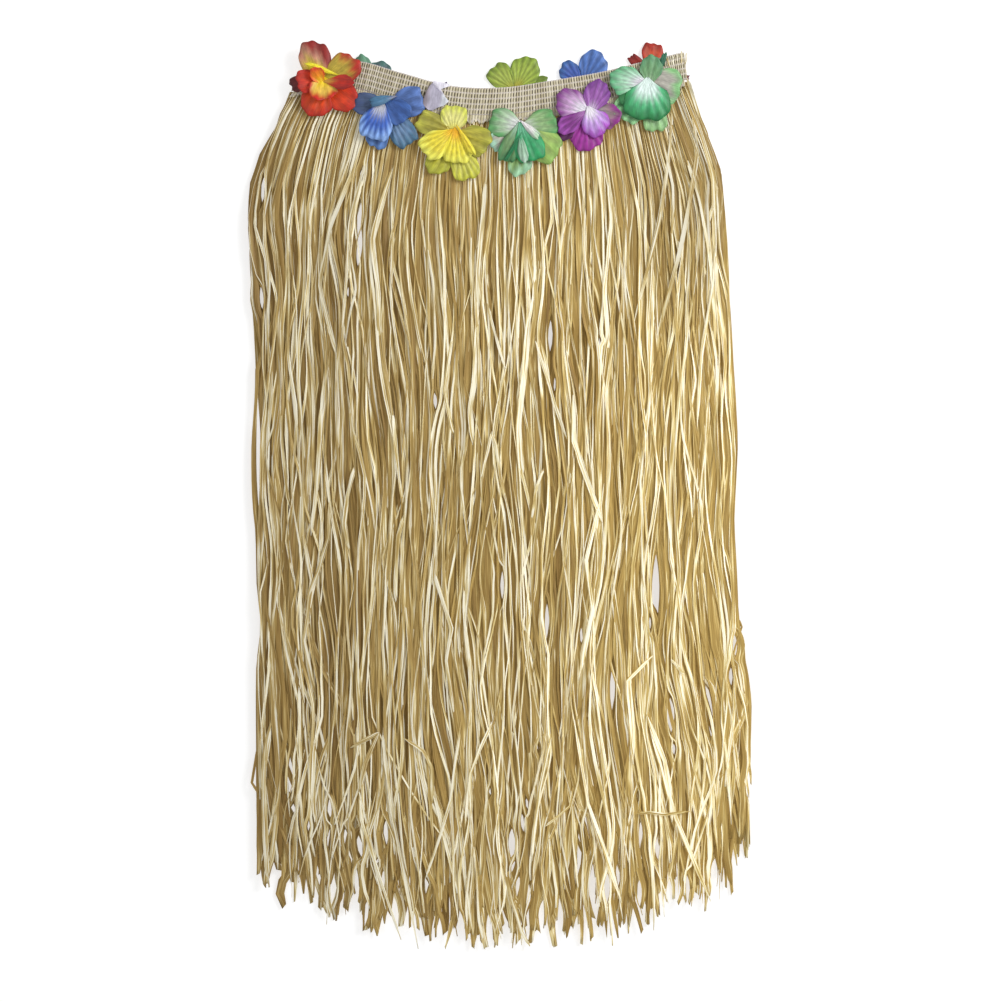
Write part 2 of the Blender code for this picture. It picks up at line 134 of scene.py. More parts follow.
# Single ribbons that lie over the rest: four points of the path in mm, width, tone, how often the
# corners are rounded, and height in mm
STRAYS = table(
    "x0 y0 x1 y1 x2 y2 x3 y3 width tone rounds lie",
    (-173, 378, -218, 324, -235, 238, -226, 136, 1.5, 0.26, 6, 4),
    (-95, 324, -119, 238, -113, 190, -111, 140, 4.6, 0.92, 1, 11.8),
    (-129, 322, -158, 250, -168, 196, -151, 126, 3.8, 0.94, 1, 11.9),
    (-122, 324, -140, 254, -143, 197, -148, 140, 2.8, 0.92, 1, 11.6),
    (-12, 179, -7, 159, -1, 138, 5, 119, 2.6, 0.95, 0, 12.2),
    (33, 144, 43, 113, 51, 85, 62, 53, 2.8, 1, 0, 12.3), (68, 94, 69, 51, 77, 26, 95, -24, 4.4, 1, 0, 12.1),
    (-7, 62, -11, 43, -14, 31, -18, 11, 2.4, 0.92, 0, 11.9),
    (-7, 61, -3, 43, 0, 20, 6, -8, 3.4, 0.8, 0, 11.7), (41, 26, 35, 11, 33, 2, 29, -24, 2.8, 0.9, 0, 11.9),
    (-43, 156, -52, 99, -48, 78, -43, 56, 3, 0.86, 0, 11.8),
    (-20, 182, -24, 104, -28, 81, -25, 47, 4.8, 0.92, 1, 11.9),
    (28, 182, 23, 117, 17, 65, 21, 13, 5.2, 0.96, 1, 11.8),
    (-109, -222, -106, -250, -99, -301, -76, -421, 3.2, 0.98, 0, 12.2),
    (-6, -208, -19, -236, -27, -257, -33, -311, 3, 0.95, 0, 12),
    (-36, -208, -46, -283, -55, -314, -69, -355, 2.8, 0.98, 0, 12.3),
    (-131, -275, -129, -301, -109, -363, -92, -413, 2.6, 0.94, 0, 11.9),
    (-139, -234, -113, -220, -125, -248, -131, -275, 3.8, 0.74, 0, 12.4),
    (-89, -225, -71, -237, -63, -253, -63, -286, 3, 0.8, 1, 12.2),
    (-213, -208, -220, -257, -218, -316, -216, -361, 5, 0.84, 1, 11.8),
    (-224, -224, -231, -267, -225, -276, -223, -284, 2.4, 0.4, 0, 8),
    (69, -208, 82, -286, 93, -316, 113, -378, 3.4, 0.98, 0, 12.2),
    (138, -208, 154, -267, 164, -301, 196, -377, 3.8, 0.92, 0, 12),
    (51, -208, 37, -272, 32, -311, 30, -340, 3, 0.9, 0, 11.9),
    (127, -295, 140, -294, 153, -296, 176, -293, 2.6, 0.66, 1, 12.6),
    (42, -307, 52, -299, 65, -288, 68, -270, 2.2, 0.72, 0, 12.6),
    (3, -344, 11, -376, 20, -405, 28, -419, 3, 0.84, 0, 11.8),
    (142, -148, 118, -172, 121, -204, 124, -249, 3.2, 0.9, 0, 12.3),
    (159, -152, 163, -156, 166, -160, 171, -166, 3, 0.96, 0, 12.2),
    (222, -114, 225, -122, 219, -140, 214, -161, 1.8, 0.36, 0, 9),
    (136, -203, 153, -246, 158, -273, 160, -303, 4, 0.95, 0, 12.1),
    (227, -255, 232, -246, 229, -262, 232, -281, 2, 0.7, 0, 9),
    (100, 303, 104, 257, 97, 192, 102, 126, 3.6, 0.96, 1, 11.8),
    (178, 366, 184, 318, 170, 238, 144, 140, 3.6, 0.88, 3, 11.9),
    (160, 366, 158, 322, 148, 254, 122, 150, 3.4, 0.84, 3, 11.7),
    (201, 238, 197, 189, 187, 132, 183, 60, 3, 0.88, 2, 12),
    (-87, 254, -86, 217, -83, 186, -71, 124, 3, 0.85, 1, 11.9),
    (-69, 239, -62, 199, -60, 141, -64, 99, 2.6, 0.9, 1, 12),
    (-13, 300, -17, 248, -21, 205, -20, 171, 3.4, 0.92, 1, 11.8),
    (-166, 89, -168, 48, -172, -9, -176, -37, 3.5, 0.86, 1, 11.9),
    (-134, 32, -142, 0, -145, -28, -140, -53, 4, 0.86, 1, 12),
    (-203, 80, -203, 52, -199, 12, -196, -10, 3, 0.8, 1, 11.7),
    (-100, 82, -97, 48, -94, 18, -90, -9, 2.8, 0.9, 0, 11.9),
    (-54, 48, -57, 0, -61, -56, -63, -83, 2.6, 0.92, 1, 12.1),
    (-159, -6, -159, -37, -168, -68, -180, -97, 3.4, 0.8, 1, 12.2),
    (-89, -16, -95, -40, -97, -79, -97, -99, 3.6, 0.86, 1, 11.8),
    (171, 322, 186, 275, 197, 210, 201, 136, 3, 0.94, 2, 11.7),
    (-65, -60, -45, -123, -50, -153, -42, -208, 3.4, 0.94, 0, 12),
    (93, -4, 80, -60, 86, -106, 73, -171, 3.6, 0.98, 0, 12.2),
    (-186, -22, -175, -78, -182, -134, -171, -190, 3.4, 0.84, 0, 11.9),
    (174, 390, 179, 374, 186, 352, 195, 330, 3.4, 0.8, 1, 8),
    (158, 398, 157, 402, 156, 405, 155, 408, 1.2, 1, 0, 9.6),
    (162, 400, 161, 404, 161, 408, 160, 411, 1.4, 1, 0, 9.7),
    (166, 401, 165, 405, 165, 409, 164, 413, 1.2, 1, 0, 9.6),
    (169, 401, 169, 405, 169, 410, 169, 415, 1.4, 1, 0, 9.7),
    (172, 401, 173, 405, 173, 410, 174, 413, 1.4, 1, 0, 9.6),
)

# blossoms
BLOSSOM_AT = {
    "red": (-161, 388.0),
    "blue": (-103, 351.5),
    "yellow": (-43, 328.5),
    "green": (22, 328.5),
    "purple": (81, 354.0),
    "mint": (136, 376.0),
}
# A petal in mm and degrees: base from the blossom's middle, way and length, half spread of the fan,
# slope at the base and at the rim, ribs, how far the dye leans to one side, how far out the base
# colour fades, and its three colours
PETAL = "x y way length spread rise_base rise_rim ribs lean fade base middle rim"
PETALS = {
    ("red", "outer"): table(
        PETAL,
        # painted shade: this left petal is dark maroon where it reaches past the band's left end
        (-9, 3, -158, 27, 27, 4, -6, 3, 0, 0.3, "#8A2C20", "#7A2020", "#5C1A1C"),
        (-2, -10, 108, 46, 32, 14, -4, 3, -0.42, 0.56, "#E4D42C", "#C48870", "#8E1E18"),
        (-6, -10, 39, 44, 33, 14, 0, 3, -0.15, 0.4, "#CFC438", "#C0A83C", "#B42A1C"),
        (-2, -5, -36, 35, 40, 12, -8, 3, 0.1, 0.3, "#F09428", "#DA3E10", "#B8240A"),
        (-2, -5, -114, 32, 50, 14, -12, 4, 0.1, 0.4, "#F0A028", "#DE480E", "#B8240A"),
    ),
    ("red", "inner"): table(
        PETAL,
        (-1, 0, -170, 28, 40, 12, 16, 3, 0, 0.25, "#F0901C", "#D8360E", "#B41E0C"),
        (-3, -7, 120, 20, 40, 24, 40, 2, 0, 0.45, "#F4C81C", "#F08A18", "#D8481A"),
        (-3, 3, -90, 26, 58, 12, 28, 3, 0, 0.45, "#F8D818", "#EFC650", "#C81E10"),
        (-5, -3, -6, 33, 22, 22, 24, 2, -0.2, 0.35, "#D0A040", "#C22814", "#AC180E"),
        (13, 2, 163, 34, 9, 24, 2, 1, 0, 0.3, "#F0E030", "#F4E62E", "#E8DC30"),
    ),
    ("blue", "outer"): table(
        PETAL,
        (4, 13, -179, 37, 28, 10, 2, 3, 0.15, 0.4, "#7A90B0", "#4C6084", "#3C4E78"),
        (-5, 7, 18, 39, 36, 12, -6, 4, 0, 0.35, "#4A6AA6", "#4C6AA6", "#5A7ABC"),
        (-5, 13, -57, 46, 26, 8, -4, 6, 0, 0.3, "#4A6FA8", "#6A8AB0", "#48708C"),
        (-7, 11, -97, 40, 26, 6, -4, 4, 0, 0.3, "#34589C", "#3C62A4", "#5A82C0"),
    ),
    ("blue", "inner"): table(
        PETAL,
        (-5, 17, -41, 30, 40, 16, 0, 3, 0, 0.3, "#4468A8", "#34589C", "#3C62A6"),
        (-6, 18, -103, 41, 38, 16, -8, 8, 0, 0.42, "#C9CBD6", "#3560BC", "#86ACE8"),
        (8, 20, -163, 28, 17, 26, 4, 2, 0, 0.3, "#8E90A8", "#47789C", "#3A6688"),
    ),
    ("yellow", "outer"): table(
        PETAL,
        (-1, 6, 86, 29, 44, 12, -4, 7, 0, 0.35, "#E6DC50", "#E6E288", "#D2D658"),
        # painted shade: the upper-left petal is olive
        (4, 9, 162, 40, 27, 6, 0, 3, 0.1, 0.35, "#B8A434", "#A39C3C", "#B4B244"),
        (-2, 10, -20, 38, 38, 10, -4, 4, 0.1, 0.35, "#D8C428", "#B4AC40", "#A8A63A"),
        (-2, 4, -120, 37, 32, 6, -4, 4, 0, 0.3, "#C4BC30", "#BDB93A", "#B0B23A"),
        (2, 4, -72, 41, 31, 6, -4, 7, 0, 0.3, "#BDB22C", "#CFCC58", "#C4C440"),
    ),
    ("yellow", "inner"): table(
        PETAL,
        (2, 13, -142, 39, 33, 14, -8, 6, 0, 0.3, "#F0B81A", "#EAD83C", "#ECEA62"),
        (1, 15, -84, 36, 38, 16, -10, 7, 0, 0.38, "#F0B616", "#EEDE38", "#EAE65A"),
        (2, 17, -60, 35, 9, 24, -6, 1, 0, 0.3, "#F8D020", "#F8E040", "#EEE64A"),
    ),
    ("green", "outer"): table(
        PETAL,
        (-2, 13, -152, 34, 26, 8, 0, 3, 0, 0.3, "#CFC8C4", "#B8B4A6", "#A4D4BA"),
        (3, 14, 170, 36, 38, 12, -6, 5, 0.12, 0.5, "#D6D8D6", "#A8C4A0", "#5A9A5C"),
        (-6, 14, 7, 38, 36, 12, -6, 5, 0, 0.4, "#D8E2D4", "#93B67E", "#5C9C5A"),
        (-2, 12, -94, 43, 26, 6, -2, 4, 0.3, 0.4, "#86A060", "#7FA45C", "#9CCCA4"),
        (-2, 16, -42, 44, 36, 7, -4, 4, 0, 0.4, "#A9D2A6", "#A2BE68", "#8FB458"),
    ),
    ("green", "inner"): table(
        PETAL,
        (-4, 20, -110, 41, 22, 12, -6, 3, 0, 0.35, "#8FB89A", "#6F9460", "#4C8A56"),
        (-4, 20, -70, 41, 36, 16, -10, 5, 0, 0.35, "#6DB892", "#35A066", "#2E9C5E"),
        # painted highlight: this narrow white petal is the highlight along a fold
        (-4, 21, -44, 26, 15, 28, -10, 1, 0, 0.4, "#F4EEF2", "#E6E4E2", "#AFCFAE"),
        (-4, 10, -78, 30, 18, 24, -14, 3, 0.2, 0.4, "#6FA884", "#9DC0A4", "#B4D0BC"),
        (0, 12, -120, 35, 5, 20, -14, 1, 0, 0.3, "#2A8A5A", "#1F7A4A", "#2C8050"),
    ),
    ("purple", "outer"): table(
        PETAL,
        (3, 5, -144, 41, 28, 6, -4, 5, 0, 0.3, "#7A3A7C", "#5E1F5A", "#54184F"),
        (0, 3, -92, 36, 44, 6, -4, 8, 0, 0.35, "#861C7C", "#A0309A", "#96288E"),
        # painted shade: the grey base and middle of this right petal are the shade inside its curl
        (1, 5, -19, 31, 40, 4, 16, 3, 0, 0.5, "#B4ACAC", "#9C8488", "#8E2E86"),
        (5, 0, 153, 37, 38, 12, -4, 6, 0, 0.5, "#E0DCE6", "#C49CC8", "#83408A"),
        (2, -2, 72, 35, 35, 12, -4, 6, 0, 0.33, "#DCD0E2", "#9A5CAA", "#7E4094"),
    ),
    ("purple", "inner"): table(
        PETAL,
        (1, 5, -143, 34, 25, 14, -8, 4, 0, 0.35, "#A870B0", "#7E3084", "#A04CAC"),
        (0, 9, -66, 31, 44, 16, -12, 5, 0, 0.45, "#EEE8F2", "#C49AE0", "#A64EBC"),
    ),
    ("mint", "outer"): table(
        PETAL,
        (11, 13, 74, 24, 10, 8, 0, 1, 0, 0.3, "#3E7E62", "#2F6E52", "#2F6E52"),
        (4, 3, -82, 41, 27, 5, -2, 5, 0, 0.3, "#8CC07C", "#A8D49C", "#8AB878"),
        (2, 7, -128, 42, 34, 7, -2, 5, 0, 0.35, "#3F8F5C", "#4F9A64", "#93CC90"),
        (-1, 11, -18, 35, 50, 10, -2, 3, 0, 0.3, "#B0A99C", "#B2AFA4", "#7FBA78"),
        (2, 2, 83, 31, 34, 12, -4, 4, 0, 0.4, "#8FAE88", "#6E9C6C", "#5E946A"),
        (6, 5, 171, 40, 36, 10, -4, 8, 0, 0.5, "#DAD4DE", "#A6D2B4", "#62AC7C"),
    ),
    ("mint", "inner"): table(
        PETAL,
        (2, 7, -139, 32, 34, 12, -6, 4, 0, 0.3, "#2F8A54", "#246E3C", "#2F7A44"),
        (1, 14, -91, 43, 54, 16, -10, 8, 0, 0.52, "#DCEFE8", "#48AE74", "#237A42"),
    ),
}
OUTER_SEAT = 9.9 * MM
INNER_SEAT = 12.6 * MM
PETAL_STEP = 0.45 * MM  # rise of each petal over the one before it
PETAL_THICK = 0.35 * MM
PETAL_RIB = 0.55 * MM

# Blossoms under the back of the band, in mm, and their petals, which all start at its middle
BACK_AT = {
    "teal": (-118, 378.0),
    "violet": (-50, 361.5),
    "lime": (14, 378.0),
    "azure": (77, 383.5),
    "scarlet": (144, 391.0),
}
BACK_PETAL = "way length spread ribs base middle rim"
BACK_PETALS = {
    "teal": table(
        BACK_PETAL,
        # painted shade: the second, grey-blue petal is the teal blossom's shading
        (113, 35, 24, 3, "#6FA084", "#86B496", "#5F9478"), (72, 28, 48, 4, "#8E93A4", "#7C8296", "#46706A"),
        (-13, 28, 34, 4, "#8FB0A4", "#5F8F86", "#3F7A66"),
        (-87, 30, 34, 4, "#8FB0A4", "#5F8F86", "#3F7A66"),
        (-152, 29, 34, 4, "#8FB0A4", "#5F8F86", "#3F7A66"),
    ),
    "violet": table(
        BACK_PETAL,
        (91, 24, 11, 2, "#5A3A80", "#46286C", "#3A2060"), (21, 24, 34, 4, "#9C80B0", "#6E3D86", "#4E2A66"),
        (-55, 24, 34, 4, "#9C80B0", "#6E3D86", "#4E2A66"),
        (-128, 24, 34, 4, "#9C80B0", "#6E3D86", "#4E2A66"),
        (162, 25, 34, 4, "#9C80B0", "#6E3D86", "#4E2A66"),
    ),
    "lime": table(
        BACK_PETAL,
        (134, 31, 38, 6, "#A8A838", "#A0B04C", "#7E9634"), (63, 34, 42, 7, "#A8A02C", "#9AAE44", "#86A038"),
        (16, 33, 20, 2, "#8FA43C", "#7E9634", "#6A8428"), (-54, 30, 34, 4, "#D6DA7C", "#B4C03C", "#7F9A22"),
        (-130, 31, 34, 4, "#D6DA7C", "#B4C03C", "#7F9A22"),
    ),
    "azure": table(
        BACK_PETAL,
        (134, 27, 36, 5, "#34508E", "#3A58A8", "#3A62A0"), (62, 34, 40, 5, "#345298", "#4468AC", "#5478BC"),
        (-2, 32, 32, 4, "#7F9EDC", "#4F78CC", "#2F58B0"), (-67, 32, 34, 4, "#7F9EDC", "#4F78CC", "#2F58B0"),
        (-150, 31, 34, 4, "#7F9EDC", "#4F78CC", "#2F58B0"),
    ),
    "scarlet": table(
        BACK_PETAL,
        (140, 30, 16, 2, "#C8402A", "#A82A1C", "#7E1A18"), (95, 32, 31, 3, "#E2B03A", "#CC5230", "#A0281C"),
        (-149, 29, 30, 4, "#E6C23A", "#D85A2A", "#A8301E"),
        (-81, 31, 34, 4, "#E6C23A", "#D85A2A", "#A8301E"), (-1, 33, 7, 1, "#C8402A", "#7E1A1A", "#641216"),
    ),
}


# shared shapes
def linear(hex_colour):
    """The linear colour of an sRGB hex value."""
    shares = [int(hex_colour[i : i + 2], 16) / 255 for i in (1, 3, 5)]
    curve = [s / 12.92 if s <= 0.04045 else ((s + 0.055) / 1.055) ** 2.4 for s in shares]
    return (*curve, 1.0)


def soft_step(low, high, value):
    """0 below low and 1 above high, with 3t^2 - 2t^3 between them."""
    t = np.clip((value - low) / (high - low), 0, 1)
    return t * t * (3 - 2 * t)


def in_scene(name, data):
    """A new object of this mesh, light or camera."""
    made = bpy.data.objects.new(name, data)
    bpy.context.scene.collection.objects.link(made)
    return made


def add_piece(name, node, points, quads, material, uv, floats=(), colours=(), sharp=None):
    """A closed mesh of these points and four-sided faces that rides on the skirt in place of its node.

    The faces are turned over where the volume, summed as corner . (corner x corner) / 6, is below zero.
    uv is in mm, one for each point, and floats and colours are named values of each point."""
    a, b, c, d = (points[quads[:, i]] for i in range(4))
    volume = np.einsum("ij,ij->", a, np.cross(b, c)) + np.einsum("ij,ij->", a, np.cross(c, d))
    if volume < 0:
        quads = quads[:, ::-1]
    mesh = bpy.data.meshes.new(name)
    mesh.vertices.add(len(points))
    mesh.vertices.foreach_set("co", points.astype(np.float32).ravel())
    mesh.loops.add(quads.size)
    mesh.loops.foreach_set("vertex_index", quads.astype(np.int32).ravel())
    mesh.polygons.add(len(quads))
    mesh.polygons.foreach_set("loop_start", np.arange(0, quads.size, 4, dtype=np.int32))
    mesh.update(calc_edges=True)
    mesh.shade_smooth()
    layer = mesh.uv_layers.new(name="UVMap")
    layer.data.foreach_set("uv", uv[quads.ravel()].astype(np.float32).ravel())
    for title, values in floats:
        made = mesh.attributes.new(title, "FLOAT", "POINT")
        made.data.foreach_set("value", values.astype(np.float32).ravel())
    for title, values in colours:
        made = mesh.color_attributes.new(title, "FLOAT_COLOR", "POINT")
        made.data.foreach_set("color", values.astype(np.float32).ravel())
    if sharp is not None:
        ends = np.zeros(2 * len(mesh.edges), np.int32)
        mesh.edges.foreach_get("vertices", ends)
        creased = sharp(ends[0::2], ends[1::2])
        mesh.attributes.new("sharp_edge", "BOOLEAN", "EDGE").data.foreach_set("value", creased)
    mesh.materials.append(material)
    piece = in_scene(name, mesh)
    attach(piece, "root")
    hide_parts(node)
    return piece


def closed(top, low):
    """Points and faces of two grids, one over the other, and of the strip round their edge."""
    rows, columns = top.shape[:2]
    count = rows * columns
    index = np.arange(count).reshape(rows, columns)
    corner = index[:-1, :-1].ravel()
    upper = np.column_stack([corner, corner + 1, corner + columns + 1, corner + columns])
    rim = np.concatenate([index[0, :], index[1:, -1], index[-1, -2::-1], index[-2:0:-1, 0]])
    after = np.roll(rim, -1)
    strip = np.column_stack([after, rim, rim + count, after + count])
    points = np.vstack([top.reshape(-1, 3), low.reshape(-1, 3)])
    return points, np.vstack([upper, upper[:, ::-1] + count, strip])


def shell(grid, thick):
    """Both sides of a surface, each half the thickness away along its normal, and a strip round the edge.

    The normal is the cross product of the steps along the two ways of the grid."""
    normal = np.cross(np.gradient(grid, axis=1), np.gradient(grid, axis=0))
    normal /= np.maximum(np.linalg.norm(normal, axis=2), 1e-12)[:, :, None]
    if normal[:, :, 2].sum() < 0:
        normal = -normal
    return closed(grid + normal * thick / 2, grid - normal * thick / 2)


# materials
def add_node(tree, kind, links=(), **settings):
    """A node with its settings and links: an input's name or place, and what reaches it or its value."""
    node = tree.nodes.new(kind)
    for name, value in settings.items():
        setattr(node, name, value)
    for socket, source in links:
        if isinstance(source, bpy.types.NodeSocket):
            tree.links.new(source, node.inputs[socket])
        else:
            node.inputs[socket].default_value = source
    return node


def colour_stops(ramp, stops):
    """Sets a ramp's colours to these places and hex colours."""
    elements = ramp.color_ramp.elements
    while len(elements) < len(stops):
        elements.new(0.5)
    for element, (place, hex_colour) in zip(elements, stops):
        element.position = place
        element.color = linear(hex_colour)


def new_material(name, roughness, **values):
    """A material with its shader, whose uniform values are set on the shader's own sockets."""
    material = bpy.data.materials.new(name)
    material.use_nodes = True
    tree = material.node_tree
    shader = tree.nodes["Principled BSDF"]
    for title, value in {"Roughness": roughness, "Metallic": 0.0, **values}.items():
        shader.inputs[title.replace("_", " ")].default_value = value
    return material, tree, shader


def drawn_noise(tree, scale, detail):
    """The piece's own UV, and a noise on it that is drawn out along the fibres."""
    place = add_node(tree, "ShaderNodeUVMap", uv_map="UVMap").outputs["UV"]
    drawn = add_node(tree, "ShaderNodeMapping", [("Vector", place), ("Scale", scale)]).outputs["Vector"]
    noise = add_node(tree, "ShaderNodeTexNoise", [("Vector", drawn), ("Scale", 1.0), ("Detail", detail)])
    return place, noise.outputs["Fac"]


def surface(tree, shader, colour, height, strength, distance):
    """Gives the shader its colour and its bump."""
    links = [("Strength", strength), ("Distance", distance), ("Height", height)]
    bump = add_node(tree, "ShaderNodeBump", links)
    tree.links.new(colour, shader.inputs["Base Color"])
    tree.links.new(bump.outputs["Normal"], shader.inputs["Normal"])


def split_raffia():
    """Raffia: palm leaf split by hand and dried. Flat ribbons with fibres along them give a satin gleam.
    Straw runs from shaded khaki to pale cream, with painted shade at the left, darker and greyer where the
    side value is 0, and painted light at the right, brighter and golden where it is 1.
    Its fibres are 0.2 mm wide, and are drawn 1 mm wide so that they show."""
    material, tree, shader = new_material(
        "split_dried_raffia", 0.46, IOR=1.45, Specular_IOR_Level=0.2, Emission_Strength=PAINTED_GLOW_SHARE
    )
    tone, painted_side_light = (
        add_node(tree, "ShaderNodeAttribute", attribute_name=name).outputs["Fac"]
        for name in ("tone", "painted_side_light")
    )
    _, fibre = drawn_noise(tree, (0.9, 0.022, 1.0), 3.0)
    shift = add_node(tree, "ShaderNodeMath", [(0, fibre), (1, 1.9), (2, tone)], operation="MULTIPLY_ADD")
    centred = add_node(tree, "ShaderNodeMath", [(0, shift.outputs["Value"]), (1, 0.95)], operation="SUBTRACT")
    straw = add_node(tree, "ShaderNodeValToRGB", [("Fac", centred.outputs["Value"])])
    dark = ((0.0, "#896B38"), (0.25, "#9D7E46"), (0.5, "#A98B50"))
    colour_stops(straw, (*dark, (0.7, "#C0A363"), (0.87, "#E3D29E"), (1.0, "#FBF4DC")))
    # painted shade and painted light: a darker, greyer copy of the straw for the left and a brighter, golden
    # copy for the right
    painted_shade_straw, painted_lit_straw = (
        add_node(
            tree,
            "ShaderNodeHueSaturation",
            [("Hue", hue), ("Saturation", saturation), ("Value", value), ("Color", straw.outputs["Color"])],
        ).outputs["Color"]
        for hue, saturation, value in ((0.5, 0.98, 0.76), (0.506, 1.0, 1.20))
    )
    links = [("Factor", painted_side_light), ("A", painted_shade_straw), ("B", painted_lit_straw)]
    mixed = add_node(tree, "ShaderNodeMix", links, data_type="RGBA").outputs["Result"]
    # painted glow: the straw emits its own colour, which lightens its shaded gaps
    tree.links.new(mixed, shader.inputs["Emission Color"])
    surface(tree, shader, mixed, fibre, 0.6, 0.0004)
    return material


def woven_raffia_band():
    """Raffia woven on rows of elastic: matt beige ribs, painted shade in the gaps between them and pale
    elastic threads.
    """
    material, tree, shader = new_material("raffia_woven_on_elastic", 0.66, IOR=1.45)
    gap, thread, tone = (
        add_node(tree, "ShaderNodeAttribute", attribute_name=name).outputs["Fac"]
        for name in ("gap", "thread", "tone")
    )
    _, fibre = drawn_noise(tree, (1.6, 0.25, 1.0), 3.0)
    shade = add_node(tree, "ShaderNodeMath", [(0, fibre), (1, 0.5), (2, tone)], operation="MULTIPLY_ADD")
    rib = add_node(tree, "ShaderNodeValToRGB", [("Fac", shade.outputs["Value"])])
    colour_stops(rib, ((0.1, "#B0A482"), (0.45, "#D2C7A6"), (0.8, "#EEE5C8"), (1.0, "#FAF4DE")))
    colour = rib.outputs["Color"]
    # painted shade in the gaps between ribs, then the pale elastic threads
    for share, over in ((gap, "#43392A"), (thread, "#D2C9CE")):
        links = [("Factor", share), ("A", colour), ("B", linear(over))]
        colour = add_node(tree, "ShaderNodeMix", links, data_type="RGBA").outputs["Result"]
    surface(tree, shader, colour, fibre, 0.4, 0.0002)
    return material


def stamped_petal_cloth():
    """Polyester satin, dip-dyed and heat-stamped into ribs: a soft sheen, and dye that bleeds in streaks.

    Its threads are 0.15 mm apart, and are drawn 0.5 mm apart so that they show."""
    material, tree, shader = new_material(
        "dyed_polyester_petal_cloth", 0.52, IOR=1.5, Sheen_Weight=0.08, Sheen_Roughness=0.4
    )
    dye = add_node(tree, "ShaderNodeVertexColor", layer_name="dye").outputs["Color"]
    place, bleed = drawn_noise(tree, (0.9, 0.12, 1.0), 4.0)
    blotch = add_node(tree, "ShaderNodeTexNoise", [("Vector", place), ("Scale", 0.16), ("Detail", 2.0)])
    ends = ("Value", "From Min", "From Max", "To Min", "To Max")
    depths = [
        add_node(tree, "ShaderNodeMapRange", list(zip(ends, values))).outputs["Result"]
        for values in ((bleed, 0.3, 0.7, 0.80, 1.14), (blotch.outputs["Fac"], 0.35, 0.65, 0.84, 1.12))
    ]
    both = add_node(tree, "ShaderNodeMath", list(enumerate(depths)), operation="MULTIPLY").outputs["Value"]
    dyed = add_node(tree, "ShaderNodeHueSaturation", [("Value", both), ("Color", dye)]).outputs["Color"]
    weave = add_node(tree, "ShaderNodeTexWave", [("Vector", place), ("Scale", 0.32), ("Distortion", 0.4)])
    surface(tree, shader, dyed, weave.outputs["Fac"], 0.12, 0.0001)
    return material


def pale_floor():
    """Matt white sheet, lit a little from behind as a light table is, so that shadows on it stay faint."""
    grey, white = linear("#C4C4C4"), (1.0, 1.0, 1.0, 1.0)
    values = dict(Base_Color=grey, Specular_IOR_Level=0.1, Emission_Color=white, Emission_Strength=0.6)
    return new_material("matt_white_board", 0.9, **values)[0]


# plan of the band and the fringe
def band_section(run):
    """Top and lower edge at shares of the run: a cubic through the sections, in metres."""
    rows = np.array(BAND, float) * MM
    rows = np.vstack([2 * rows[0] - rows[1], rows, 2 * rows[-1] - rows[-2]])
    place = np.clip(np.asarray(run, float), 0, 1) * (len(BAND) - 1)
    first = np.minimum(place.astype(int), len(BAND) - 2)
    t = (place - first)[..., None]
    before, start, end, after = (rows[first + i] for i in range(4))
    slope_in = (end - before) / 2
    slope_out = (after - start) / 2
    return (
        (2 * t**3 - 3 * t**2 + 1) * start
        + (t**3 - 2 * t**2 + t) * slope_in
        + (3 * t**2 - 2 * t**3) * end
        + (t**3 - t**2) * slope_out
    )


def below_top(run, depth):
    """Plan points at a depth below the band's top edge."""
    edges = band_section(run)
    down = edges[..., 2:] - edges[..., :2]
    down /= np.linalg.norm(down, axis=-1)[..., None]
    return edges[..., :2] + down * np.asarray(depth)[..., None]


def band_height(run):
    """Distance from the top edge to the lower one."""
    edges = band_section(run)
    return np.linalg.norm(edges[..., 2:] - edges[..., :2], axis=-1)


def sides(share):
    """The fringe's left and right edge at shares of its length: straight lines between the rows."""
    rows = np.array(SPREAD, float) * MM
    return np.interp(share, rows[:, 0] / MM, rows[:, 1]), np.interp(share, rows[:, 0] / MM, rows[:, 2])


def fringe_plan(lane, share, shortened):
    """Plan of points at a lane from left to right and a share of the length from the heading to the hem.

    x runs between the outline's two sides; y falls evenly from the root to the hem, which is raised
    by what each ribbon is shorter."""
    left, right = sides(share)
    x = left + (right - left) * lane
    root_lane = lane[:, :1]
    root = below_top(root_lane, band_height(root_lane) + SEAM + HEADING_DEPTH * 0.4)
    straight = left[:, :1] + (right - left)[:, :1] * root_lane
    x = x + (root[..., 0] - straight) * (1 - share) ** 2
    hem = HEM_LOW + HEM_RISE * (np.abs(x[:, -1:]) / HEM_HALF_WIDTH) ** HEM_POWER + shortened
    y = root[..., 1] + (hem - root[..., 1]) * share
    return x, y


def part_ribbons(x, y, half, slack):
    """Parts the ribbons, of these half widths, round each slit.

    A ribbon keeps to the side that it mostly lies on, and its offset from the slit's middle becomes the
    root of offset^2 + gap^2, where the gap is a half wave along the slit. Ribbons that cross the slit
    by more than the slack are left as they are."""
    for slit in PARTINGS:
        top, low = slit.top * MM, slit.low * MM
        along = (top - y) / (top - low)
        opening = np.sin(math.pi * np.clip((along + 0.25) / 1.5, 0, 1))
        gap = (slit.width / 2 * MM + half) * opening
        centre = slit.x * MM + slit.lean * (y - (top + low) / 2)
        away = x - centre
        side = np.where((away * opening).sum(axis=1, keepdims=True) >= 0, 1.0, -1.0)
        crosses = np.where(opening > 0.2, -side * away, 0).max(axis=1, keepdims=True) > slack
        kept = np.maximum(side * away, 0)
        moved = centre + side * np.sqrt(kept**2 + gap**2)
        share = np.where(crosses, 0, soft_step(0.0, 0.35, opening))
        x = x + (moved - x) * share
    return x


